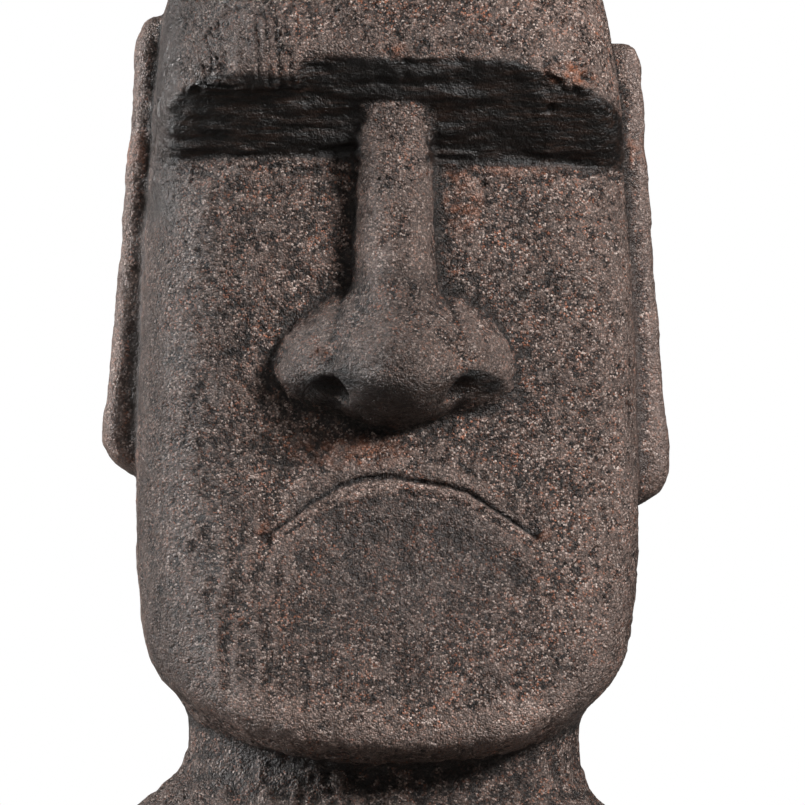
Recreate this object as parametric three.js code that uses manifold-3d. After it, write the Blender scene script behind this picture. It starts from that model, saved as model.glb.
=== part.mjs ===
// A cast moai head statue: one solid piece, a head with long ears on a neck and shoulders, cut flat below.
// Millimetres, +Z up, the face looking along -Y. The origin is the middle of the underside's bounding box.
import * as THREE from "three";
import { LoftGeometry } from "three/addons/geometries/LoftGeometry.js";
import { mergeVertices } from "three/addons/utils/BufferGeometryUtils.js";
import Module from "manifold-3d";

const wasm = await Module();
wasm.setup();

// ---- Driving dimensions ----

const HEIGHT = 600; // underside to crown
const CHIN_Z = 176; // lowest edge of the chin
const SOCKET_Z = 475; // where the brow's underside meets the cheeks
const BROW_Z = 523; // front edge of the brow
const CHIN_DEPTH = 101; // how far the chin stands forward of the ear line
const BROW_DEPTH = 103;
const CHEEK_DEPTH = 74; // the flat of the face below the sockets
const NOSE_DEPTH = 118.95; // of the ridge; its blend with the wings adds 1 mm
const NOSE_X = 1.5; // the nose and the mouth sit a little to the +X side
const NOSE_BASE = 62; // the nose's sides run in to this depth, inside the face

const FRONT_COLUMNS = 30; // points round the front half of every ring of the body
const BACK_COLUMNS = 20;

// ---- Interpolation and blending ----

// Reads a table by its first column: the other columns follow a smooth curve through every row.
function track(rows) {
  const size = rows[0].length - 1;
  const places = rows.map((row) => row[0]);
  const values = rows.flatMap((row) => row.slice(1));
  const curve = new THREE.CubicInterpolant(places, values, size, new Float64Array(size));
  return (place) => Array.from(curve.evaluate(THREE.MathUtils.clamp(place, places[0], places.at(-1))));
}

// The larger of two values, rounded off where they are within softness of each other.
function softMax(a, b, softness) {
  const share = THREE.MathUtils.clamp(0.5 + (0.5 * (a - b)) / softness, 0, 1);
  return a * share + b * (1 - share) + softness * share * (1 - share);
}

// A quarter of a superellipse: 1 at the middle, 0 at the rim and beyond.
function dome(offset, reach, square) {
  return Math.max(0, 1 - Math.abs(offset / reach) ** square) ** (1 / square);
}

// ---- Body: rings round the vertical axis ----

// A ring is a rounded rectangle. Its height may differ at the front, the side and the back, and tilt makes
// its +X side hang lower. front and back are its depths from the ear line, and its two squares are the
// exponents of its corners. The first column counts rings, so a larger step gets more of them.
// ring, front z, side z, back z, tilt, half width, front, back, front square, back square

const SHOULDERS_AND_NECK = [
  [0, 0, 0, 0, 0, 163, 93, 117, 3.2, 3.2],
  [2, 52, 52, 52, 0, 167, 96, 120, 3.2, 3.2],
  [4, 98, 98, 98, 1, 161, 89, 116, 2.9, 3],
  [6, 128, 128, 130, 3, 141, 76, 108, 2.6, 2.8],
  [8, 147, 148, 154, 5, 118, 67, 101, 2.5, 2.5],
  [9, 156, 159, 168, 5, 105.5, 63.5, 97, 2.4, 2.4],
  [10, 164, 172, 184, 4, 100.5, 62, 94, 2.4, 2.4],
  [11, 170, 190, 200, 1, 100, 63, 92, 2.4, 2.4],
];
const UNDER_THE_JAW = [
  SHOULDERS_AND_NECK.at(-1),
  [12, 172, 196, 204, 1, 102.5, 80, 92, 2.6, 2.4],
  [13, CHIN_Z, 204, 211, 1, 107.5, 93, 93, 2.9, 2.4],
];
const FACE = [
  UNDER_THE_JAW.at(-1),
  [14, 180, 212, 218, 0, 114.5, 98.5, 93.5, 3.2, 2.5],
  [15, 187, 222, 228, 0, 120.5, CHIN_DEPTH, 94, 3.5, 2.5],
  [17, 205, 242, 250, 0, 124.5, 99, 97, 3.9, 2.6],
  [20, 245, 274, 278, 0, 127, 90.5, 101, 4.4, 2.7],
  [24, 304, 314, 315, 0, 127.5, 79, 104, 4.9, 2.8],
  [28, 362, 362, 362, 0, 126.5, 75.5, 103, 5.3, 2.8],
  [32, 420, 418, 418, 1, 124.5, CHEEK_DEPTH, 100, 5.4, 2.8],
  [36, SOCKET_Z, 466, 468, 3, 121, 69, 97, 5.2, 2.8],
];
const UNDER_THE_BROW = [
  FACE.at(-1),
  [40, BROW_Z, 489, 506, 5, 119, BROW_DEPTH, 94, 4.6, 2.8],
];
const FOREHEAD_AND_CROWN = [
  UNDER_THE_BROW.at(-1),
  [41, 528, 502, 514, 5, 118.5, 102.5, 93, 4.5, 2.8],
  [43, 543, 534, 538, 3, 115, 97.5, 90, 4, 2.8],
  [45, 562, 560, 560, 2, 110.5, 90, 85, 3.4, 2.7],
  [47, 580, 580, 580, 0, 99, 77, 75, 2.9, 2.6],
  [49, 593, 593, 593, 0, 79, 58, 59, 2.7, 2.5],
  [50, 598, 598, 598, 0, 60, 42, 43, 2.5, 2.4],
  [51, HEIGHT, HEIGHT, HEIGHT, 0, 36, 26, 27, 2.4, 2.3],
];

// A crease runs round the body wherever two of these bands meet.
const BANDS = [SHOULDERS_AND_NECK, UNDER_THE_JAW, FACE, UNDER_THE_BROW, FOREHEAD_AND_CROWN];

// Angles from the front towards +X and on round the back, closest together at the four corners.
function columnAngles() {
  const quarters = [
    [-90, FRONT_COLUMNS / 2],
    [0, FRONT_COLUMNS / 2],
    [90, BACK_COLUMNS / 2],
    [180, BACK_COLUMNS / 2],
  ];
  const cornerCrowding = 0.35;
  return quarters.flatMap(([start, count]) =>
    Array.from({ length: count }, (_, k) => {
      const s = (2 * k) / count - 1;
      const share = (1 - cornerCrowding) * s + cornerCrowding * s ** 3;
      return THREE.MathUtils.degToRad(start + 45 * (1 + share));
    }),
  );
}

function ringPoint([frontZ, sideZ, backZ, tilt, halfWidth, front, back, frontSquare, backSquare], angle) {
  const forward = Math.cos(angle);
  const sideways = Math.sin(angle);
  const [endZ, depth, square] = forward > 0 ? [frontZ, front, frontSquare] : [backZ, back, backSquare];
  const reach = (Math.abs(forward) ** square + Math.abs(sideways) ** square) ** (-1 / square);
  const across = reach * sideways;
  const z = endZ + (sideZ - endZ) * Math.abs(across) ** square - tilt * across;
  return new THREE.Vector3(halfWidth * across, -depth * reach * forward, z);
}

function bodyGeometry() {
  const angles = columnAngles();
  const rings = BANDS.flatMap((band, k) => {
    const ringAt = track(band);
    const first = band[0][0] + (k ? 1 : 0);
    const count = band.at(-1)[0] - first + 1;
    return Array.from({ length: count }, (_, i) => ringAt(first + i));
  });
  const sections = rings.map((ring) => angles.map((angle) => ringPoint(ring, angle)));
  return new LoftGeometry(sections, { capStart: true, capEnd: true });
}

// Depth of the plain face at a place on it.
const faceRows = FACE.map(([, z, , , , halfWidth, front, , square]) => [z, halfWidth, front, square]);
const faceRing = track(faceRows);

function faceDepth(x, z) {
  const [halfWidth, front, square] = faceRing(z);
  return front * dome(x, halfWidth, square);
}

// ---- Nose ----

// The ridge and the wings are two domes across the face, one narrow and deep, one wide and shallow.
// z, depth of the ridge, its half width, its squareness, depth of the wings, their half width
const nose = track([
  [337, 72, 10, 2.2, 66, 18],
  [340, 82, 17, 2.2, 69, 26],
  [343, 92, 24, 2.2, 74, 43],
  [345.5, 99, 28, 2.2, 80, 53],
  [349, 107, 31, 2.2, 88, 56.5],
  [354, 114, 33, 2.2, 96.5, 59],
  [360, 118, 34.5, 2.2, 102.5, 60.5],
  [368, NOSE_DEPTH, 35, 2.2, 105, 61],
  [378, 116, 33, 2.2, 103, 59],
  [390, 108, 28.5, 2.3, 92, 52],
  [399, 103, 25.5, 2.4, 81, 46],
  [406, 100, 23.5, 2.5, 70, 42],
  [413, 97.5, 22, 2.6, NOSE_BASE, 30],
  [430, 94, 20.5, 2.8, NOSE_BASE, 22],
  [462, 90.5, 19.5, 3.2, NOSE_BASE, 21],
  [516, 88, 18.5, 4, NOSE_BASE, 20],
]);
const TIP_ROWS = [337, 339, 341, 343, 345, 347, 350, 353.5, 357, 361, 364, 368];
const WING_ROWS = [373, 378, 384, 390, 396, 401, 405, 409];
const BRIDGE_ROWS = [415, 424, 436, 456, 482, 516];
const RIDGE_COLUMNS = 20;
const WING_COLUMNS = 7; // on each side of the ridge
const WING_SQUARE = 2.8;
const NOSE_SOFTNESS = 24; // where the wings run into the ridge and the tip
const WING_HALF_WIDTH = 61;
const WING_LIFT = 4.5; // the underside rises this much from the tip to the edges of the wings
const LIFT_END_Z = 376; // the lift starts here and is full LIFT_SPAN lower
const LIFT_SPAN = 26;
const NOSE_BACK = 57; // depth of the nose's flat back, buried in the face

function noseDepth(x, z) {
  const [ridge, ridgeWidth, ridgeSquare, wing, wingWidth] = nose(z);
  const ridgeDepth = NOSE_BASE + (ridge - NOSE_BASE) * dome(x, ridgeWidth, ridgeSquare);
  const wingDepth = NOSE_BASE + (wing - NOSE_BASE) * dome(x, wingWidth, WING_SQUARE);
  return softMax(ridgeDepth, wingDepth, NOSE_SOFTNESS);
}

// Places across the nose, closest together down the sides of the ridge and the wings.
function noseColumns(z) {
  const [, ridgeWidth, , , wingWidth] = nose(z);
  const columns = [];
  for (let k = WING_COLUMNS; k > 0; k--) {
    columns.push(-ridgeWidth - (wingWidth - ridgeWidth) * Math.sin((Math.PI / 2) * (k / WING_COLUMNS)));
  }
  for (let k = 0; k <= RIDGE_COLUMNS; k++) {
    const s = (2 * k) / RIDGE_COLUMNS - 1;
    columns.push(ridgeWidth * (0.5 * s + 0.5 * Math.sin((Math.PI / 2) * s)));
  }
  const mirrored = columns.slice(0, WING_COLUMNS).reverse();
  return [...columns, ...mirrored.map((x) => -x)];
}

function noseGeometry() {
  const sections = [...TIP_ROWS, ...WING_ROWS, ...BRIDGE_ROWS].map((z) => {
    const lowness = THREE.MathUtils.smoothstep(LIFT_END_Z - z, 0, LIFT_SPAN);
    const columns = noseColumns(z);
    const edge = columns.at(-1);
    const front = columns.map((x) => {
      const depth = Math.abs(x) < edge ? noseDepth(x, z) : NOSE_BASE;
      const lift = WING_LIFT * lowness * (x / WING_HALF_WIDTH) ** 2;
      return new THREE.Vector3(NOSE_X + x, -depth, z + lift);
    });
    const back = [edge, -edge].map((x) => new THREE.Vector3(NOSE_X + x, -NOSE_BACK, z));
    return [...front, ...back];
  });
  return new LoftGeometry(sections, { capStart: true, capEnd: true });
}

// A shallow hollow in the underside of each wing, lying along its slope.
const NOSTRIL = { x: 34, depth: 98, z: 355, across: 13, along: 9, into: 6, slope: 48 };

function nostrilGeometry(side) {
  const { x, depth, z, across, along, into, slope } = NOSTRIL;
  const hollow = new THREE.SphereGeometry(1, 16, 10).scale(across, along, into);
  hollow.rotateX(THREE.MathUtils.degToRad(-slope));
  return hollow.translate(NOSE_X + side * x, -depth, z);
}

// ---- Mouth ----

// The line of the mouth is an arch; across runs from -1 at one corner to 1 at the other.
const MOUTH = { x: 5, apexZ: 312.5, cornerZ: 284, halfWidth: 68 };

function mouthPlace(across) {
  const z = MOUTH.apexZ - (MOUTH.apexZ - MOUTH.cornerZ) * across ** 2;
  return [MOUTH.x + MOUTH.halfWidth * across, z];
}

// Height above the mouth line, and how far the lips stand proud of the face there, at their fullest.
const LIPS = [
  [-16, -4],
  [-8.5, -1.5],
  [-7, 1.6],
  [-5, 3.2],
  [-1, 3.4],
  [1, 3.2],
  [6, 4],
  [13, 3.2],
  [21, 1.4],
  [30, -0.6],
  [36, -3],
];
const LIP_BURIED = 6;
const LIP_FADE = 1; // the lips sink this far into the face at the corners of the mouth
const LIP_COLUMNS = 24;

function lipsGeometry() {
  const sections = [];
  for (let k = 0; k <= LIP_COLUMNS; k++) {
    const across = 1 - (2 * k) / LIP_COLUMNS;
    const [x, lineZ] = mouthPlace(across);
    const fullness = dome(across, 1, 2);
    const pointAt = (above, proud) => {
      const z = lineZ + above;
      return new THREE.Vector3(x, -faceDepth(x, z) - proud, z);
    };
    const front = LIPS.map(([above, proud]) => pointAt(above, (proud + LIP_FADE) * fullness - LIP_FADE));
    const back = [LIPS.at(-1), LIPS[0]].map(([above]) => pointAt(above, -LIP_BURIED));
    sections.push([...front, ...back]);
  }
  return new LoftGeometry(sections, { capStart: true, capEnd: true });
}

const MOUTH_CUT = { halfHeight: 1.6, into: 1.8, overhang: 8, steps: 28 };

// A wedge swept along the mouth line, its edge inside the face and its back clear in front of the lips.
function mouthCutGeometry() {
  const { halfHeight, into, overhang, steps } = MOUTH_CUT;
  const sections = [];
  for (let k = 0; k <= steps; k++) {
    const [x, z] = mouthPlace(1 - (2 * k) / steps);
    const y = -faceDepth(x, z);
    sections.push([
      new THREE.Vector3(x, y - overhang, z - halfHeight),
      new THREE.Vector3(x, y - overhang, z + halfHeight),
      new THREE.Vector3(x, y + into, z),
    ]);
  }
  return new LoftGeometry(sections, { capStart: true, capEnd: true });
}

// ---- Ears ----

// The two ears differ: stretch lengthens one, and flare spreads its top.
const EARS = [
  { side: -1, topZ: 550, stretch: 1, flare: 0 },
  { side: 1, topZ: 537.5, stretch: 1.017, flare: 4 },
];
const EAR_INNER_X = 104; // buried in the head
const EAR_RIM = 9; // width of the raised rim
const EAR_EDGE = 4; // bevel of its outer edges
const EAR_SLOPE = 3; // how far the rim's inner wall leans
// Distance below the top, outer face, front edge, back edge, depth of the hollow inside the rim.
const EAR_STATIONS = [
  [0, 120, -15, 23, 0],
  [3, 124, -21, 29, 0],
  [10, 127, -24, 33, 0],
  [13, 128, -25, 34, 6],
  [54, 130, -27, 36, 8],
  [64, 131, -27, 36, 8],
  [67, 131.5, -27, 36, 3],
  [74, 132, -27, 36, 3],
  [77, 132.5, -27, 36, 8],
  [122, 136, -26, 34, 8],
  [172, 140.5, -27, 34, 7],
  [198, 143, -30, 37, 6],
  [202, 143.5, -30, 37, 0],
  [217, 144, -30, 37, 0],
  [227, 139, -27, 33, 0],
  [233, 130, -21, 26, 0],
];

function earGeometry({ side, topZ, stretch, flare }) {
  const length = EAR_STATIONS.at(-1)[0];
  const sections = EAR_STATIONS.map(([drop, face, front, back, hollow]) => {
    const outer = face + flare * (1 - drop / length);
    const corners = [
      [EAR_INNER_X, front],
      [outer - EAR_EDGE, front],
      [outer, front + EAR_EDGE],
      [outer, front + EAR_RIM],
      [outer - hollow, front + EAR_RIM + EAR_SLOPE],
      [outer - hollow, back - EAR_RIM - EAR_SLOPE],
      [outer, back - EAR_RIM],
      [outer, back - EAR_EDGE],
      [outer - EAR_EDGE, back],
      [EAR_INNER_X, back],
    ];
    return corners.map(([x, y]) => new THREE.Vector3(side * x, y, topZ - stretch * drop));
  });
  if (side > 0) sections.reverse();
  return new LoftGeometry(sections, { capStart: true, capEnd: true });
}

// ---- Solids ----

function toSolid(geometry) {
  const bare = new THREE.BufferGeometry();
  bare.setAttribute("position", geometry.getAttribute("position"));
  bare.setIndex(geometry.getIndex());
  const merged = mergeVertices(bare, 1e-4);
  return new wasm.Manifold(
    new wasm.Mesh({
      numProp: 3,
      vertProperties: new Float32Array(merged.attributes.position.array),
      triVerts: new Uint32Array(merged.index.array),
    }),
  );
}

function toGeometry(solid) {
  const { vertProperties, triVerts } = solid.getMesh();
  const geometry = new THREE.BufferGeometry();
  geometry.setAttribute("position", new THREE.BufferAttribute(vertProperties, 3));
  geometry.setIndex(new THREE.BufferAttribute(triVerts, 1));
  geometry.computeVertexNormals();
  return geometry;
}

let solid = toSolid(bodyGeometry());
for (const ear of EARS) solid = solid.add(toSolid(earGeometry(ear)));
solid = solid.add(toSolid(noseGeometry()));
solid = solid.add(toSolid(lipsGeometry()));
for (const side of [-1, 1]) solid = solid.subtract(toSolid(nostrilGeometry(side)));
solid = solid.subtract(toSolid(mouthCutGeometry()));

const castStone = new THREE.MeshStandardMaterial({
  name: "bronzed_cast_stone",
  color: new THREE.Color(0.1, 0.07, 0.06),
  roughness: 0.62,
  metalness: 0.25,
});

const moaiBust = new THREE.Mesh(toGeometry(solid), castStone);
moaiBust.name = "moai_bust";

const statue = new THREE.Group();
statue.name = "moai_head_statue";
statue.add(moaiBust);

export default statue;
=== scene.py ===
import math

import bpy
import numpy as np
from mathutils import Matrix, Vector


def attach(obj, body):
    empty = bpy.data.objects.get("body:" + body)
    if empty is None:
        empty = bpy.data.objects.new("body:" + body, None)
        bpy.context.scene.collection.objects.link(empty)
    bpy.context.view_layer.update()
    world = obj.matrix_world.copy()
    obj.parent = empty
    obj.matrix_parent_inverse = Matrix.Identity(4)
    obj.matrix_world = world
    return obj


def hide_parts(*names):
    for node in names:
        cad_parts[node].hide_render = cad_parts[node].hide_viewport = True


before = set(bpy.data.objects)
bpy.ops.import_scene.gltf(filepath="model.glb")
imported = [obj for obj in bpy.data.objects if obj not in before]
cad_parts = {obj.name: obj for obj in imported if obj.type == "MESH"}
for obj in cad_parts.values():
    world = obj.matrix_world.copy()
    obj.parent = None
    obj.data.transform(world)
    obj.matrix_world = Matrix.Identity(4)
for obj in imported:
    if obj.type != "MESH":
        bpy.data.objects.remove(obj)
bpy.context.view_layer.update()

MM = 0.001
VOXEL = 1.05 * MM
CRISP_ROUNDS = 5  # of smoothing, enough to lose the voxels and keep the edges
SMOOTH_ROUNDS = 11  # more, where the CAD's facets should go too
FACES = 195000
FLAT_Z = 0.6 * VOXEL / MM  # everything lower is the flat underside

# ---- Noise ----


def scramble(x, y, z, seed):
    """One pseudo-random whole number for each lattice cell."""
    h = x * np.uint32(374761393) + y * np.uint32(668265263) + z * np.uint32(2246822519)
    h = h + np.uint32(seed) * np.uint32(3266489917)
    h = (h ^ (h >> np.uint32(15))) * np.uint32(2246822519)
    h = (h ^ (h >> np.uint32(13))) * np.uint32(3266489917)
    return h ^ (h >> np.uint32(16))


def lattice(p, size):
    q = p / np.asarray(size, float)
    cell = np.floor(q)
    return q - cell, cell.astype(np.int64).astype(np.uint32)


def part_of(h, shift):
    """Ten bits of a scrambled number, from 0 to 1."""
    return ((h >> np.uint32(shift)) & np.uint32(1023)).astype(np.float32) / 1023


def noise(p, size, seed):
    """Smooth noise, about -1 to 1, with lumps of that size; size may be one number or three."""
    f, cell = lattice(p, size)
    u = f * f * f * (f * (f * 6 - 15) + 10)
    total = np.zeros(len(p))
    for dx in (0, 1):
        for dy in (0, 1):
            for dz in (0, 1):
                h = scramble(
                    cell[:, 0] + np.uint32(dx),
                    cell[:, 1] + np.uint32(dy),
                    cell[:, 2] + np.uint32(dz),
                    seed,
                )
                dot = (part_of(h, 0) * 2 - 1) * (f[:, 0] - dx)
                dot += (part_of(h, 10) * 2 - 1) * (f[:, 1] - dy)
                dot += (part_of(h, 20) * 2 - 1) * (f[:, 2] - dz)
                weight = u[:, 0] if dx else 1 - u[:, 0]
                weight = weight * (u[:, 1] if dy else 1 - u[:, 1])
                weight = weight * (u[:, 2] if dz else 1 - u[:, 2])
                total += weight * dot
    return total * 1.9


def spots(p, size, seed, share, smallest, largest):
    """Distance to the nearest scattered spot in units of its radius: 0 at its middle, 1 at its rim."""
    f, cell = lattice(p, size)
    best = np.full(len(p), 9.0)
    for dx in (-1, 0, 1):
        for dy in (-1, 0, 1):
            for dz in (-1, 0, 1):
                step = [np.uint32(d % 2**32) for d in (dx, dy, dz)]
                h = scramble(cell[:, 0] + step[0], cell[:, 1] + step[1], cell[:, 2] + step[2], seed)
                g = scramble(h, cell[:, 0], cell[:, 2], seed + 1)
                away = (f[:, 0] - dx - part_of(h, 0)) ** 2
                away += (f[:, 1] - dy - part_of(h, 10)) ** 2
                away += (f[:, 2] - dz - part_of(h, 20)) ** 2
                radius = smallest + (largest - smallest) * part_of(g, 0) ** 2
                away = np.sqrt(away) * size / radius
                best = np.minimum(best, np.where(part_of(g, 10) < share, away, 9))
    return best


def layers(p, rows):
    """Several noises on top of each other; a row is height, size, seed."""
    return sum(height * noise(p, size, seed) for height, size, seed in rows)


# ---- Small helpers ----


def ramp(value, start, end):
    """0 before start, 1 after end, smooth between; start may be the larger."""
    t = np.clip((value - start) / (end - start), 0, 1)
    return t * t * (3 - 2 * t)


def between(value, low, high, soft):
    return ramp(value, low - soft, low + soft) * ramp(value, high + soft, high - soft)


def bowl(distance):
    """A round hollow: 1 at the middle, 0 from distance 1."""
    return np.clip(1 - distance**2, 0, 1)


def along(points, x):
    """Height of a line through (x, z) points."""
    return np.interp(x, [a for a, b in points], [b for a, b in points])


def lump(x, z, cx, cz, rx, rz, turn=0):
    """A soft bump on the face, 1 at (cx, cz) and 0 outside its ellipse."""
    a = math.radians(turn)
    u = ((x - cx) * math.cos(a) + (z - cz) * math.sin(a)) / rx
    v = (-(x - cx) * math.sin(a) + (z - cz) * math.cos(a)) / rz
    return np.clip(1 - u * u - v * v, 0, 1) ** 1.5


# ---- Fine mesh from the CAD solid ----


def fine_copy(node):
    source = bpy.data.objects.new("source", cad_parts[node].data.copy())
    bpy.context.scene.collection.objects.link(source)
    remesh = source.modifiers.new("remesh", "REMESH")
    remesh.mode = "VOXEL"
    remesh.voxel_size = VOXEL
    remesh.adaptivity = 0
    view = bpy.context.evaluated_depsgraph_get()
    mesh = bpy.data.meshes.new_from_object(source.evaluated_get(view))
    bpy.data.objects.remove(source)
    return mesh


def places_of(mesh):
    co = np.empty(len(mesh.vertices) * 3, np.float32)
    mesh.vertices.foreach_get("co", co)
    return co.reshape(-1, 3).astype(float) / MM


def put_places(mesh, p):
    mesh.vertices.foreach_set("co", (p * MM).astype(np.float32).ravel())
    mesh.update()


def normals_of(mesh):
    n = np.empty(len(mesh.vertices) * 3, np.float32)
    mesh.vertex_normals.foreach_get("vector", n)
    return n.reshape(-1, 3).astype(float)


def edges_of(mesh):
    e = np.empty(len(mesh.edges) * 2, np.int32)
    mesh.edges.foreach_get("vertices", e)
    return e.reshape(-1, 2)


def neighbour_mean(values, edges):
    """Each vertex's mean of its neighbours' values."""
    n = len(values)
    a, b = edges[:, 0], edges[:, 1]
    count = np.bincount(a, minlength=n) + np.bincount(b, minlength=n)
    out = [
        (np.bincount(a, values[b, k], n) + np.bincount(b, values[a, k], n)) / count
        for k in range(values.shape[1])
    ]
    return np.stack(out, 1)


def smoothed(places, edges, rounds):
    for _ in range(rounds):
        places = 0.5 * places + 0.5 * neighbour_mean(places, edges)
    return places


def thin_out(obj, faces):
    """Fewer triangles, most of them kept where the relief is."""
    total = len(obj.data.loops) - 2 * len(obj.data.polygons)
    less = obj.modifiers.new("less", "DECIMATE")
    less.ratio = faces / total
    view = bpy.context.evaluated_depsgraph_get()
    lighter = bpy.data.meshes.new_from_object(obj.evaluated_get(view))
    obj.modifiers.clear()
    obj.data = lighter
    print("head", len(lighter.polygons), "faces")


def attribute(mesh, name, values):
    """Keeps one number at each vertex for the material to read."""
    layer = mesh.attributes.new(name, "FLOAT", "POINT")
    layer.data.foreach_set("value", values.astype(np.float32))


# ---- Node trees ----


class Nodes:
    """A short way to write a node tree."""

    def __init__(self, tree):
        self.tree = tree

    def add(self, kind, inputs=(), **settings):
        node = self.tree.nodes.new(kind)
        for name, value in settings.items():
            setattr(node, name, value)
        for name, value in dict(inputs).items():
            socket = node.inputs[name]
            if isinstance(value, bpy.types.NodeSocket):
                self.tree.links.new(value, socket)
            else:
                socket.default_value = value
        return node

    def attribute(self, name):
        return self.add("ShaderNodeAttribute", attribute_name=name).outputs["Fac"]

    def math(self, operation, a, b=0.0):
        return self.add("ShaderNodeMath", {0: a, 1: b}, operation=operation).outputs[0]

    def scaled(self, vector, factor):
        return self.add("ShaderNodeVectorMath", {0: vector, "Scale": factor}, operation="SCALE").outputs[0]

    def span(self, value, low, high, start=0.0, end=1.0):
        """Start below low, end above high, even between."""
        inputs = {0: value, 1: low, 2: high, 3: start, 4: end}
        return self.add("ShaderNodeMapRange", inputs, clamp=True).outputs[0]

    def mix(self, factor, a, b):
        node = self.add("ShaderNodeMix", data_type="RGBA")
        for index, value in ((0, factor), (6, a), (7, b)):
            if isinstance(value, bpy.types.NodeSocket):
                self.tree.links.new(value, node.inputs[index])
            else:
                node.inputs[index].default_value = value if index == 0 else (*value, 1)
        return node.outputs[2]

    def noise(self, place, size_mm, detail, rough):
        inputs = {"Vector": place, "Scale": 1000 / size_mm, "Detail": detail, "Roughness": rough}
        return self.add("ShaderNodeTexNoise", inputs).outputs["Fac"]

    def cells(self, place, size_mm):
        inputs = {"Vector": place, "Scale": 1000 / size_mm}
        node = self.add("ShaderNodeTexVoronoi", inputs)
        return node.outputs["Distance"], node.outputs["Color"]

    def ramp(self, value, stops):
        node = self.add("ShaderNodeValToRGB", {0: value})
        bar = node.color_ramp
        while len(bar.elements) < len(stops):
            bar.elements.new(0.5)
        for element, (place, colour) in zip(bar.elements, stops):
            element.position = place
            element.color = (*colour, 1)
        return node.outputs[0]


# ---- Where things are ----

BROW_LINE = [(-122, 494), (-99, 511), (-92, 514), (-48, 513), (-45, 520), (-20, 522), (60, 521)]
BROW_LINE += [(72, 516), (78, 511), (98, 508), (110, 501), (119, 494)]
SOCKET_LINE = [(-112, 471), (-98, 473), (-60, 475), (-20, 473), (20, 471), (50, 470), (121, 469)]
MOUTH_LINE = [(-62, 285), (-53, 291), (-41.5, 300), (-26.5, 309), (-13.5, 312.5), (1, 313.5), (24, 309.5)]
MOUTH_LINE += [(37, 306.5), (47, 300), (57.5, 293), (69, 286), (74, 282)]
OVERALL_TONE = 0.86
DRIP_SPACING = 5.2
BROW_HANG = 7.5  # how far the -X end of the brow hangs below the rest
GROOVE_DEPTH = 2.3
GROOVE_HALF_WIDTH = 1.7

# x, z, half width, half height, turn, height (a hollow where it is less than 0)
MARKS = [
    (-38, 375, 4.5, 4.5, 0, 1.6),
    (-38, 375, 1.8, 1.8, 0, -1.6),
    (-28, 366.5, 15, 2.6, 14, 0.8),
    (41, 366.5, 13, 2.6, -16, 0.8),
    (58, 358, 3.5, 3.5, 0, 1.5),
    (-29, 393, 11, 20, -22, 3.6),
    (34, 389, 11, 20, 22, 3.6),
    (-64, 283, 4.5, 5, 60, -2.6),
    (-68, 288, 5, 3, -50, 1.8),
    (75, 283, 4, 2.6, 30, 2.2),
    (72, 288, 5, 3, -40, -1.6),
    (47, 461.5, 2.4, 3.2, 0, -2.4),
    (79.5, 497.5, 3.4, 3.2, 0, -3.0),
    (-98, 507, 3.6, 3.6, 0, -3.4),
    (-106, 508, 2.4, 5, 10, 1.2),
    (3, 532, 4.0, 7, 20, -1.2),
    (14, 527, 6.5, 5, 0, -2.6),
    (14.5, 526, 3, 2.4, 0, 3.8),
    (-2, 525, 6, 5, 30, -2.0),
    (34, 310, 26, 7, -24, 1.2),
    (-54, 384, 4.5, 9, 25, 1.2),
]
# Patches of bare copper: x, z, half width, half height, how much
COPPER = [
    (-98, 506, 6, 6, 1.0),
    (88, 512, 17, 9, 0.9),
    (114, 488, 5, 12, 0.8),
    (62, 470, 26, 6, 0.7),
    (36, 468, 14, 5, 0.9),
    (-38, 375, 6, 6, 0.5),
    (-64, 286, 5, 5, 1.0),
    (74, 284, 5, 4, 1.0),
    (-22, 325, 34, 10, 0.5),
    (2, 524, 5, 6, 0.8),
    (36, 452, 12, 18, 0.5),
]


def zones(p, normal):
    """Soft masks, 0 to 1, for the parts of the head that look different."""
    x, y, z = p.T
    m = {}
    m["front"] = ramp(-y, 20, 50)
    m["low"] = ramp(z, 182, 172) * ramp(z, 240, 200)
    m["ear"] = ramp(np.abs(x), 121, 125) * between(z, 303, 553, 3) * ramp(y, -42, -36)
    m["under_brow"] = ramp(along(BROW_LINE, x) - z, -0.5, 1.5) * ramp(z - along(SOCKET_LINE, x), -1, 1)
    ridge = between(x, -17, 21, 1.5) * ramp(-normal[:, 1], 0.5, 0.8) * ramp(z, 504, 499)
    m["under_brow"] *= m["front"] * between(x, -112, 121, 1.5) * (1 - ridge)
    m["mouth_z"] = z - along(MOUTH_LINE, x)
    m["mouth_x"] = between(x, -62, 73, 3) * m["front"]
    m["chin"] = between(x, -48, 60, 26) * m["front"] * ramp(m["mouth_z"], -7, -10) * ramp(z, 200, 270)
    m["nose"] = between(x, -60, 63, 2) * between(z, 338, 416, 3) * ramp(-y, 78, 84)
    m["temple"] = ramp(-x, 103, 110) * between(z, 440, 600, 8) * m["front"] * (1 - m["ear"])
    return m


# ---- The shape ----

mesh = fine_copy("moai_bust")
edges = edges_of(mesh)
p = places_of(mesh)
underside = p[:, 2] < FLAT_Z
crisp = smoothed(p, edges, CRISP_ROUNDS)
p = smoothed(crisp, edges, SMOOTH_ROUNDS)
x, y, z = crisp.T
edge_zone = between(z - along(BROW_LINE, x), -9, 12, 4) * ramp(-y, 80, 92)
edge_zone = np.maximum(edge_zone, between(z - along(MOUTH_LINE, x), -11, 5, 3) * ramp(-y, 60, 70))
edge_zone = np.maximum(edge_zone, between(z, 335, 415, 4) * between(x, -64, 67, 4) * ramp(-y, 60, 70))
p = p + (crisp - p) * edge_zone[:, None]
p[underside, 2] = 0
put_places(mesh, p)
normal = normals_of(mesh)
x, y, z = p.T
m = zones(p, normal)
print("fine mesh", len(p), "vertices")

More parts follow.
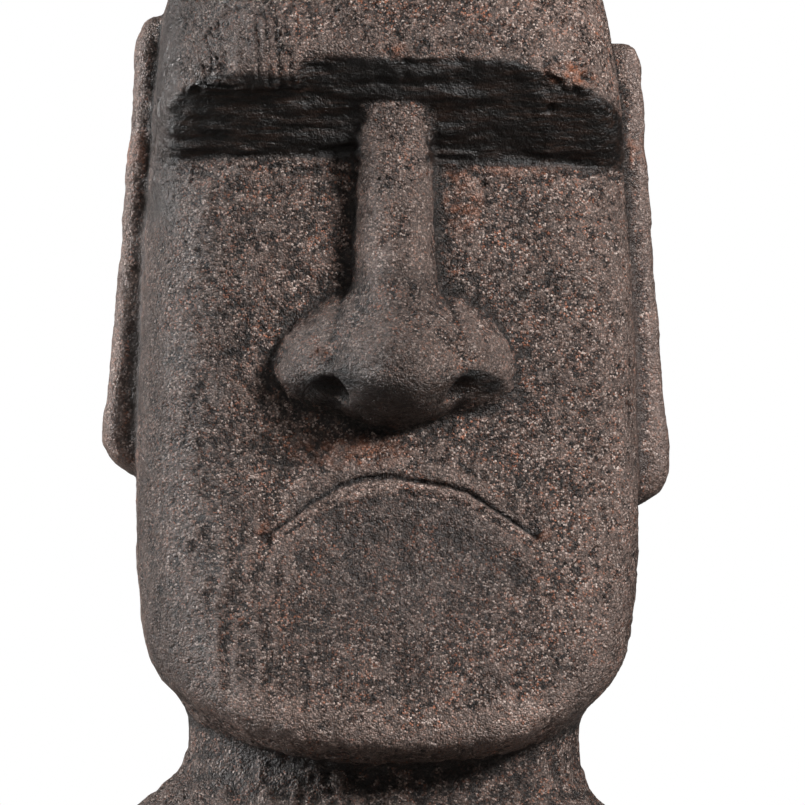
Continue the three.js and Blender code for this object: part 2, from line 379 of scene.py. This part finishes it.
front, low, ear, under_brow = m["front"], m["low"], m["ear"], m["under_brow"]
plain = 0.45 + 0.55 * np.maximum(front, ear)  # the back is quieter
calm = np.clip(under_brow * 0.8 + ear * 0.6 + m["chin"] * 0.5 + m["temple"] * 0.6, 0, 1)

# Cast stone all over: lumps, grain and open pits.
move = layers(p, [(0.9, 42, 11), (0.6, 17, 12)])
grain = layers(p, [(0.4, 6.5, 13), (0.32, 3.6, 14), (0.25, 2.2, 15)])
move += grain * plain * (1 - 0.7 * calm)
pit_share = np.clip(0.5 + 0.5 * noise(p, 60, 21), 0, 1)
pit = bowl(spots(p, 10.0, 22, 0.45, 1.2, 2.6))
move -= pit * (0.4 + 0.9 * pit_share) * (1 - calm) * plain
move -= 1.4 * bowl(spots(p, 12.0, 23, 0.6, 2.0, 4.5)) * low

# Short torn cracks over the forehead and the top of the cheeks.
tear = noise(p + 1.5 * noise(p, 5, 31)[:, None], (9, 9, 6), 32)
torn = ramp(noise(p, 16, 33), 0.02, 0.3) * front * ramp(z, 440, 480) * (1 - under_brow) * (1 - ear)
move -= 1.3 * ramp(np.abs(tear), 0.11, 0.0) * torn
move += 0.7 * ramp(tear, 0.0, 0.22) * ramp(tear, 0.5, 0.22) * torn

# Under the brow the clay was dragged sideways in long folds.
drag = noise(p + 3 * noise(p, 24, 41)[:, None], (38, 14, 5.5), 42)
fold = 1 - np.abs(noise(p + 2 * noise(p, 15, 43)[:, None], (46, 10, 7), 44)) * 2.2
move += (1.1 * drag + 0.8 * np.clip(fold, 0, 1)) * under_brow * ramp(x, 60, 30)
move += 0.5 * drag * under_brow
brushed = under_brow * ramp(x, 50, 75)
sweep = (x * 0.8 - z + 0.12 * (x - 90) ** 2 * 0.1) * 2.1  # the brush turned upwards at its ends
move += 0.25 * np.sin(sweep) * brushed

# Smears where the brow meets the cheeks.
smear = between(z, 463, 479, 4) * front * between(x, -112, 122, 4) * (1 - ear) * ramp(-y, 88, 80)
move += smear * layers(p, [(1.6, (24, 12, 4.5), 51), (0.8, (9, 9, 3), 52)])

# The neck is combed and broken.
move += low * layers(p, [(0.9, (7, 7, 16), 61), (0.6, 5, 62)])
jaw = between(z, 178, 300, 20) * ramp(-x, 20, 60) * front
move += 0.5 * jaw * noise(p, (5, 8, 38), 63)

# Rough clay round the wings of the nose.
wing_edge = noise(p, 6, 71) * between(z, 345, 420, 6) * between(np.abs(x - 2), 50, 70, 4)
wing_edge *= ramp(-y, 90, 78)
move += 0.8 * wing_edge * front

# Mouth: a thin groove with a rim below it.
mz, mx = m["mouth_z"], m["mouth_x"]
wander = 0.5 * noise(p, 12, 81)
move -= GROOVE_DEPTH * bowl(np.clip((mz + wander) / GROOVE_HALF_WIDTH, -1, 1)) * mx
rim = between(mz + wander, -8, -1.8, 1.0) * between(x, -45, 72, 8) * front
move += 0.3 * rim * (1 + 1.5 * noise(p, 6, 82))
move += 1.7 * between(x, -58, 70, 8) * front * ramp(mz, -28, -12) * ramp(mz, -6, -9)

# Single marks.
for cx, cz, rx, rz, turn, height in MARKS:
    move += height * lump(x, z, cx, cz, rx, rz, turn) * front

# The broken corner of the brow on the +X side.
chip = between(x, 73, 101, 3) * between(z, 503, 522, 4) * ramp(-y, 80, 90)
move += chip * (layers(p, [(2.4, (7, 7, 6), 91), (1.2, 3.2, 92)]) - 1.2)

p = p + normal * move[:, None]

# The brow's lower edge hangs in a ragged lip, lowest on the -X side, where drips run down the forehead.
x, y, z = p.T
lip = ramp(-y, 84, 97) * np.exp(-(((z - 518) / 11) ** 2))
hang = BROW_HANG * between(x + 2.5 * noise(p, (12, 30, 6), 104), -97, -46, 3.5) + 1.0
hang += layers(p, [(1.8, (9, 30, 60), 101), (1.4, (4.5, 30, 30), 103)])
sag = hang * lip * between(x, -108, 116, 6)
wavering = x + 0.06 * (z - 520) + 1.2 * noise(p, (14, 40, 30), 102)
drips = np.abs(np.sin(wavering * math.pi / DRIP_SPACING)) ** 0.7
dripping = between(x, -70, -45, 2) * between(z, 511, 541, 4) * ramp(-y, 86, 92)
p[:, 2] -= sag
p[:, 1] -= (1.9 * drips - 0.8) * dripping
p[underside, 2] = 0
put_places(mesh, p)

head = bpy.data.objects.new("head", mesh)
bpy.context.scene.collection.objects.link(head)


thin_out(head, FACES)
head.data.shade_smooth()

# ---- Masks for the finish ----

mesh = head.data
p = places_of(mesh)
normal = normals_of(mesh)
edges = edges_of(mesh)
x, y, z = p.T
m = zones(p, normal)
proud = ((p - smoothed(p, edges, 6)) * normal).sum(1)
proud_far = ((p - smoothed(p, edges, 40)) * normal).sum(1)

# Painted shade: the mouth groove, the nostrils and the underside of the nose are made black; under the brow
# the black is partly its own black paint and partly painted shade.
groove_shade = bowl(np.clip(m["mouth_z"] / 2.0, -1, 1)) * m["mouth_x"]
nostril_shade = np.maximum(
    lump(x, z, -29, 362, 18, 9, 4), lump(x, z, 42, 361, 16, 8, -6)
) * ramp(-y, 76, 82) * m["front"]
below_nose_shade = ramp(normal[:, 2], -0.15, -0.6) * m["nose"]
dark_paint_and_shade_mask = np.clip(m["under_brow"] + 0.8 * groove_shade + 1.2 * nostril_shade + 0.6 * below_nose_shade, 0, 1)
copper = np.zeros(len(p))
for cx, cz, rx, rz, much in COPPER:
    copper = np.maximum(copper, much * lump(x, z, cx, cz, rx, rz) ** 0.5 * m["front"])
bridge = m["ear"] * between(z, 474, 489, 2)
copper = np.maximum(copper, 0.7 * bridge)


attribute(mesh, "dark_paint_and_shade_mask", dark_paint_and_shade_mask)
attribute(mesh, "copper", copper)
attribute(mesh, "calm", np.clip(m["chin"] * 0.5 + m["temple"] * 0.7 + m["under_brow"] + m["ear"] * 0.6, 0, 1))
attribute(mesh, "raised", np.clip(0.5 + proud * 1.1 + proud_far * 0.35, 0, 1))
attribute(mesh, "low", m["low"])
# How light the finish is, mostly painted light and shade: painted shade on the nose except its +X wing, on
# the bridge, the chin, the -X side of the jaw and forehead, and the -X temple, which also has darker paint of
# its own; painted highlights on the lower lip's rim, the upper lip, the ears and the +X side of the forehead;
# the chin's lower edge is lighter, partly rubbed and partly a painted highlight.
front = m["front"]
rim = between(m["mouth_z"], -8.5, -1.5, 1.0) * between(x, -48, 72, 10) * front
tone_painted_light_shade = 1 - 0.42 * m["nose"] * ramp(x, 40, 5)
tone_painted_light_shade = tone_painted_light_shade - 0.12 * between(x, -20, 24, 3) * between(z, 410, 500, 10) * front
tone_painted_light_shade -= 0.28 * m["chin"] + 0.38 * ramp(-x, 55, 112) * front * ramp(z, 180, 215)
tone_painted_light_shade -= 0.22 * ramp(z, 505, 530) * ramp(-x, 10, 80) * front + 0.3 * m["temple"]
tone_painted_light_shade += 0.6 * rim + 0.35 * between(z, 176, 202, 6) * front * between(x, -85, 85, 20)
tone_painted_light_shade += 0.3 * between(z, 325, 345, 10) * between(x, -50, 60, 12) * front
tone_painted_light_shade += 0.35 * m["ear"] + 0.25 * ramp(x, 20, 95) * ramp(z, 500, 525) * front
attribute(mesh, "tone_painted_light_shade", OVERALL_TONE * np.clip(tone_painted_light_shade, 0.3, 2))
torn = np.maximum(ramp(z, 440, 480), 0.6 * ramp(np.abs(x - 3), 60, 20)) * m["front"]
attribute(mesh, "torn", np.clip(torn * (1 - dark_paint_and_shade_mask) * (1 - m["chin"]), 0, 1))

# ---- Finish ----

SAND = [
    (0.24, (0.004, 0.0025, 0.002)),
    (0.42, (0.024, 0.014, 0.0105)),
    (0.6, (0.085, 0.05, 0.038)),
    (0.76, (0.22, 0.145, 0.117)),
    (0.92, (0.62, 0.5, 0.44)),
]
COPPER_GRAIN = (0.36, 0.125, 0.062)
BARE_COPPER = (0.34, 0.115, 0.05)
CRACK = (0.008, 0.005, 0.004)
RUBBED = (0.27, 0.195, 0.165)
BLACK_WASH = (0.008, 0.006, 0.005)
THICK_PAINT = (0.035, 0.022, 0.018), (0.09, 0.06, 0.05)
# Black paint and painted shade, for under the brow, the mouth groove, the nostrils and under the nose.
UNDER_BROW_PAINT_AND_SHADE = (0.003, 0.0018, 0.0013), (0.03, 0.013, 0.007)
NECK_DARKER_BROWN = (0.02, 0.014, 0.012)
GRAIN_SIZE = 0.95  # millimetres
PEBBLE_SIZE = 2.1
GRAIN_WOBBLE = 0.0009  # metres


def bronzed_stone():
    material = bpy.data.materials.new("bronzed_stone")
    material.use_nodes = True
    n = Nodes(material.node_tree)
    shader = material.node_tree.nodes["Principled BSDF"]
    place = n.add("ShaderNodeTexCoord").outputs["Object"]
    dark_paint_and_shade_mask = n.attribute("dark_paint_and_shade_mask")
    copper = n.attribute("copper")
    calm = n.attribute("calm")
    raised = n.attribute("raised")
    low = n.attribute("low")
    torn = n.attribute("torn")
    painted_light_shade = n.attribute("tone_painted_light_shade")

    # Sand: grains of about a millimetre in two sizes, and finer dust between them.
    wobble = n.add("ShaderNodeTexNoise", {"Vector": place, "Scale": 600.0, "Detail": 2.0}).outputs["Color"]
    bent = n.scaled(wobble, GRAIN_WOBBLE)
    bent = n.add("ShaderNodeVectorMath", {0: place, 1: bent}, operation="ADD").outputs[0]
    grain, grain_colour = n.cells(bent, GRAIN_SIZE)
    pebble, pebble_colour = n.cells(bent, PEBBLE_SIZE)
    dust = n.noise(place, 0.8, 3, 0.7)
    clump = n.noise(place, 4.5, 4, 0.65)
    patch = n.noise(place, 38, 3, 0.55)
    stain = n.noise(place, 15, 4, 0.6)

    shade = n.add("ShaderNodeSeparateColor", {0: grain_colour})
    big_shade = n.add("ShaderNodeSeparateColor", {0: pebble_colour})
    pick = n.math("ADD", n.math("MULTIPLY", shade.outputs[0], 0.72), n.math("MULTIPLY", clump, 0.22))
    pick = n.math("ADD", pick, n.math("MULTIPLY", big_shade.outputs[0], 0.14))
    sand = n.ramp(pick, SAND)
    reddish = n.span(shade.outputs[1], 0.84, 0.88)
    much = n.span(stain, 0.42, 0.66, 0.15, 0.9)
    sand = n.mix(n.math("MULTIPLY", reddish, much), sand, COPPER_GRAIN)
    sand = n.mix(n.math("MULTIPLY", copper, n.span(clump, 0.42, 0.58)), sand, BARE_COPPER)
    # Short cracks, where a slow noise crosses its middle, in patches.
    bark = n.noise(place, 7.5, 2.5, 0.55)
    line = n.span(n.math("ABSOLUTE", n.math("SUBTRACT", bark, 0.5)), 0.0, 0.022, 1.0, 0.0)
    where = n.span(n.noise(place, 21, 2, 0.5), 0.47, 0.56)
    crack = n.math("MULTIPLY", line, n.math("MULTIPLY", where, n.span(torn, 0, 1, 0.25, 1.0)))
    sand = n.mix(n.math("MULTIPLY", crack, 0.85), sand, CRACK)
    # Rubbed high places are lighter; hollows and gaps keep the black wash.
    sand = n.mix(n.span(raised, 0.52, 0.95, 0.0, 0.45), sand, RUBBED)
    gap = n.span(grain, 0.5, 0.8, 0.0, 0.7)
    wash = n.math("MAXIMUM", gap, n.span(raised, 0.38, 0.0, 0.0, 0.85))
    sand = n.mix(wash, sand, BLACK_WASH)
    # Smooth places have thicker paint.
    smooth_paint = n.mix(n.span(clump, 0.35, 0.7), *THICK_PAINT)
    sand = n.mix(n.math("MULTIPLY", calm, 0.6), sand, smooth_paint)
    # Slow changes of tone, in stains and in larger patches, times the head's painted light and shade.
    tone_painted_light_shade = n.math("MULTIPLY", n.span(stain, 0.3, 0.7, 0.78, 1.2), n.span(patch, 0.35, 0.65, 0.85, 1.12))
    tone_painted_light_shade = n.math("MULTIPLY", tone_painted_light_shade, painted_light_shade)
    toned = n.scaled(sand, tone_painted_light_shade)
    # Under the brow, in the mouth groove, in the nostrils and under the nose: black with brown dragged
    # through it sideways. Under the brow this is partly black paint and partly painted shade; in the groove,
    # the nostrils and under the nose it is painted shade.
    long = n.add("ShaderNodeMapping", {"Vector": place, "Scale": (0.16, 0.5, 1.0)}).outputs[0]
    streak = n.noise(long, 2.4, 4, 0.65)
    brown = n.math("MULTIPLY", n.span(streak, 0.45, 0.66), n.span(patch, 0.3, 0.55))
    black_paint_and_shade = n.mix(brown, *UNDER_BROW_PAINT_AND_SHADE)
    coloured = n.mix(dark_paint_and_shade_mask, toned, black_paint_and_shade)
    # The neck is mixed a fifth of the way to a darker brown.
    coloured = n.mix(n.math("MULTIPLY", low, 0.2), coloured, NECK_DARKER_BROWN)
    material.node_tree.links.new(coloured, shader.inputs["Base Color"])

    rough = n.span(stain, 0.35, 0.65, 0.3, 0.46)
    rough = n.math("ADD", rough, n.math("MULTIPLY", shade.outputs[2], 0.1))
    material.node_tree.links.new(rough, shader.inputs["Roughness"])
    shader.inputs["Metallic"].default_value = 0.15
    shader.inputs["Specular IOR Level"].default_value = 0.55

    # Bump heights in millimetres.
    height = n.math("MULTIPLY", n.span(grain, 0.0, 0.8, 1.0, 0.0), 0.55)
    height = n.math("ADD", height, n.math("MULTIPLY", shade.outputs[0], 0.4))
    height = n.math("ADD", height, n.math("MULTIPLY", n.span(pebble, 0.0, 0.8, 1.0, 0.0), 0.5))
    height = n.math("ADD", height, n.math("MULTIPLY", dust, 0.5))
    height = n.math("MULTIPLY", height, n.span(calm, 0.0, 1.0, 1.0, 0.3))
    height = n.math("ADD", height, n.math("MULTIPLY", clump, 2.0))
    height = n.math("ADD", height, n.math("MULTIPLY", n.math("MULTIPLY", streak, dark_paint_and_shade_mask), 0.9))
    height = n.math("SUBTRACT", height, n.math("MULTIPLY", crack, 0.8))
    bump = n.add("ShaderNodeBump", {"Strength": 1.0, "Distance": 0.001, "Height": height})
    material.node_tree.links.new(bump.outputs[0], shader.inputs["Normal"])
    return material


head.data.materials.clear()
head.data.materials.append(bronzed_stone())

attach(head, "root")
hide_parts("moai_bust")

# ---- Floor, light and camera ----

FLOOR_SIZE = 6
FLOOR_SEEN = (0.8, 0.8, 0.79)
FLOOR_REFLECTED = (0.1, 0.095, 0.09)  # so that little light comes up under the brow
MIDDLE = (0, 0, 0.36)
# name, place, size, watts
LIGHTS = [
    ("key", (1.9, -1.8, 1.75), (0.7, 0.7), 135),
    ("front", (-0.3, -2.4, 2.0), (1.0, 1.0), 16),
    ("side", (-2.15, 0.3, 0.95), (0.6, 1.6), 85),
]
SKY_FILL = 0.07
EYE = Vector((-0.14, -2.9, 0.25))
AIM = Vector((0.005, -0.08, 0.3505))
FIELD = 0.4025  # metres across the frame at the aim
SENSOR = 36

bpy.ops.mesh.primitive_plane_add(size=FLOOR_SIZE, location=(0, 0, 0))
floor = bpy.context.object
floor.name = "floor"
pale = bpy.data.materials.new("floor")
pale.use_nodes = True
pale_nodes = Nodes(pale.node_tree)
seen_or_not = pale_nodes.add("ShaderNodeLightPath").outputs["Is Camera Ray"]
pale_colour = pale_nodes.mix(seen_or_not, FLOOR_REFLECTED, FLOOR_SEEN)
pale.node_tree.links.new(pale_colour, pale.node_tree.nodes["Principled BSDF"].inputs["Base Color"])
floor.data.materials.append(pale)


def look_at(obj, place, aim):
    obj.location = place
    obj.rotation_euler = (Vector(aim) - Vector(place)).to_track_quat("-Z", "Y").to_euler()


for name, place, size, watts in LIGHTS:
    data = bpy.data.lights.new(name, "AREA")
    data.shape = "RECTANGLE"
    data.size, data.size_y = size
    data.energy = watts
    lamp = bpy.data.objects.new(name, data)
    bpy.context.scene.collection.objects.link(lamp)
    look_at(lamp, place, MIDDLE)

world = bpy.data.worlds.new("studio")
bpy.context.scene.world = world
world.use_nodes = True
world.node_tree.nodes.clear()
sky = Nodes(world.node_tree)
way = sky.add("ShaderNodeTexCoord").outputs["Generated"]
up = sky.add("ShaderNodeSeparateXYZ", {0: way}).outputs["Z"]
glow = sky.span(up, -0.1, 0.6, 0.0, SKY_FILL)
white = (1, 1, 1, 1)
fill = sky.add("ShaderNodeBackground", {"Color": white, "Strength": glow}).outputs[0]
seen = sky.add("ShaderNodeBackground", {"Color": white, "Strength": 1.0}).outputs[0]
by_camera = sky.add("ShaderNodeLightPath").outputs["Is Camera Ray"]
both = sky.add("ShaderNodeMixShader", {0: by_camera, 1: fill, 2: seen}).outputs[0]
sky.add("ShaderNodeOutputWorld", {0: both})

camera_data = bpy.data.cameras.new("camera")
camera_data.sensor_width = SENSOR
camera_data.lens = SENSOR * (AIM - EYE).length / FIELD
camera = bpy.data.objects.new("camera", camera_data)
bpy.context.scene.collection.objects.link(camera)
look_at(camera, EYE, AIM)
bpy.context.scene.camera = camera
bpy.context.scene.view_settings.view_transform = "Standard"
